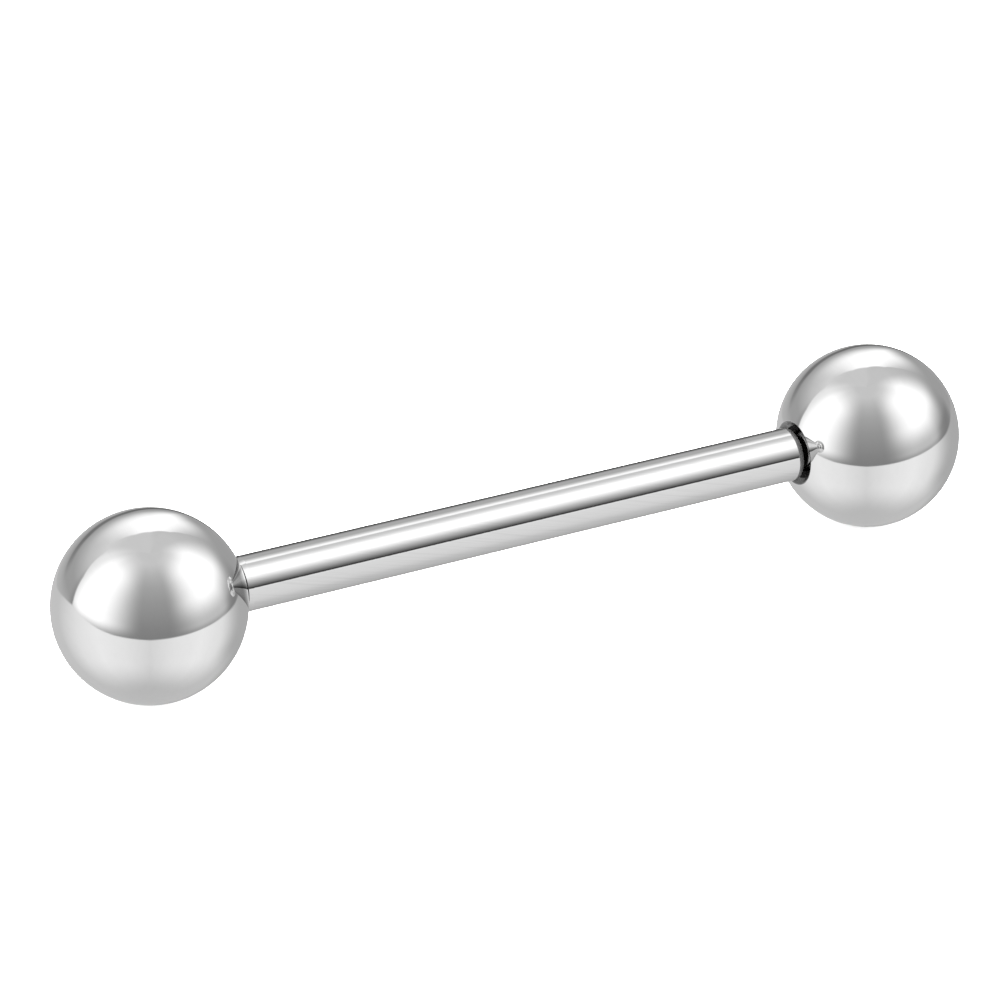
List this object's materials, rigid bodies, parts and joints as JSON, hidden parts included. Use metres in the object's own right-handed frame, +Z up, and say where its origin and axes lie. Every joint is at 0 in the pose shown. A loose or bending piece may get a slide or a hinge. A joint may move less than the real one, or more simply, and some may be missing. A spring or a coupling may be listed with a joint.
{
  "type": "tongue barbell",
  "caption": "Straight tongue barbell: a polished round shank with a threaded tip at each end and a screw-on ball on each tip.",
  "frame": {"origin": "on the surface that the two balls rest on, below the middle of the shank", "axes": "+X along the shank towards the right ball, +Z up, +Y away from the viewer"},
  "size_m": [0.0288, 0.0054, 0.0055],
  "materials": {
    "shank_polish": "mirror-polished stainless steel",
    "ball_polish": "mirror-polished stainless steel"
  },
  "bodies": {
    "shank_body": {"shank": "shank_polish"},
    "ball_left_body": {"ball_left": "ball_polish"},
    "ball_right_body": {"ball_right": "ball_polish"}
  },
  "joints": [
    {"name": "ball_right_unscrew", "type": "slide", "parent": "shank_body", "child": "ball_right_body", "axis": [1, 0, 0], "range_m": [0, 0.02]},
    {"name": "ball_left_unscrew", "type": "slide", "parent": "shank_body", "child": "ball_left_body", "axis": [-1, 0, 0], "range_m": [0, 0.02]}
  ]
}
